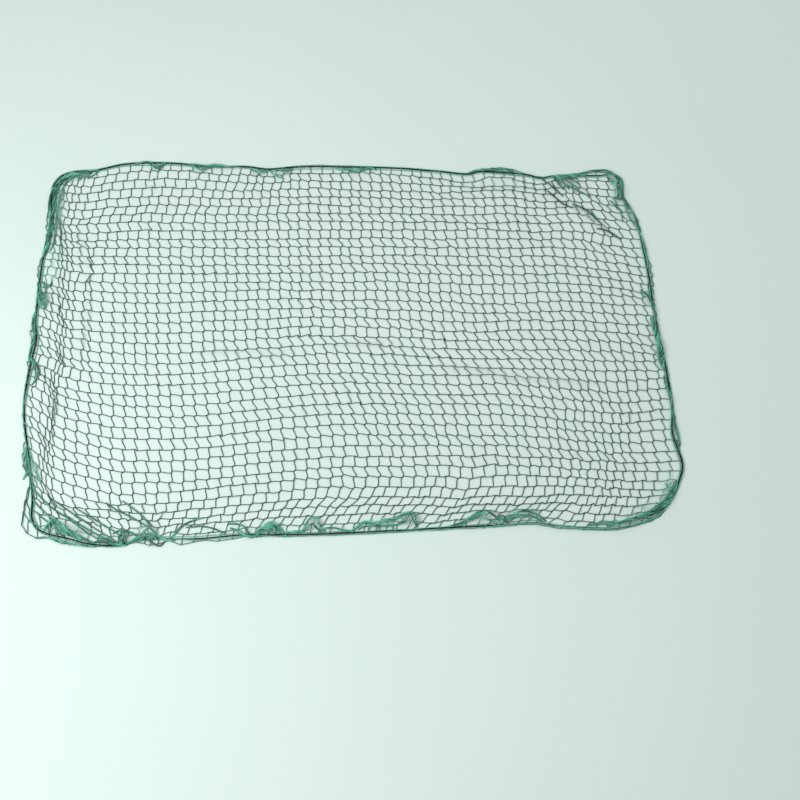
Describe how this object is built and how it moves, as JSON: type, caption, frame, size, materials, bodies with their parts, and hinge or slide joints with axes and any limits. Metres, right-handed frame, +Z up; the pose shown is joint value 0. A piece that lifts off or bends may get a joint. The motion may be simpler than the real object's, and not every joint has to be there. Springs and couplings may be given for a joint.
{
  "type": "trailer cargo net",
  "caption": "Square-mesh cargo net for covering a trailer load, lying spread out flat, with an elastic cord threaded round its rim and the edge netting bunched along it.",
  "frame": {"origin": "centre of the net's outline on the ground that it lies on", "axes": "+X along the long side, +Y along the short side, +Z up"},
  "size_m": [3.0628, 2.0946, 0.035],
  "materials": {
    "green_yarn": "matt knotless yarn, dark green",
    "black_cord": "matt braided cover, black"
  },
  "bodies": {
    "root": {"netting": "green_yarn", "border_cord": "black_cord"}
  },
  "joints": []
}
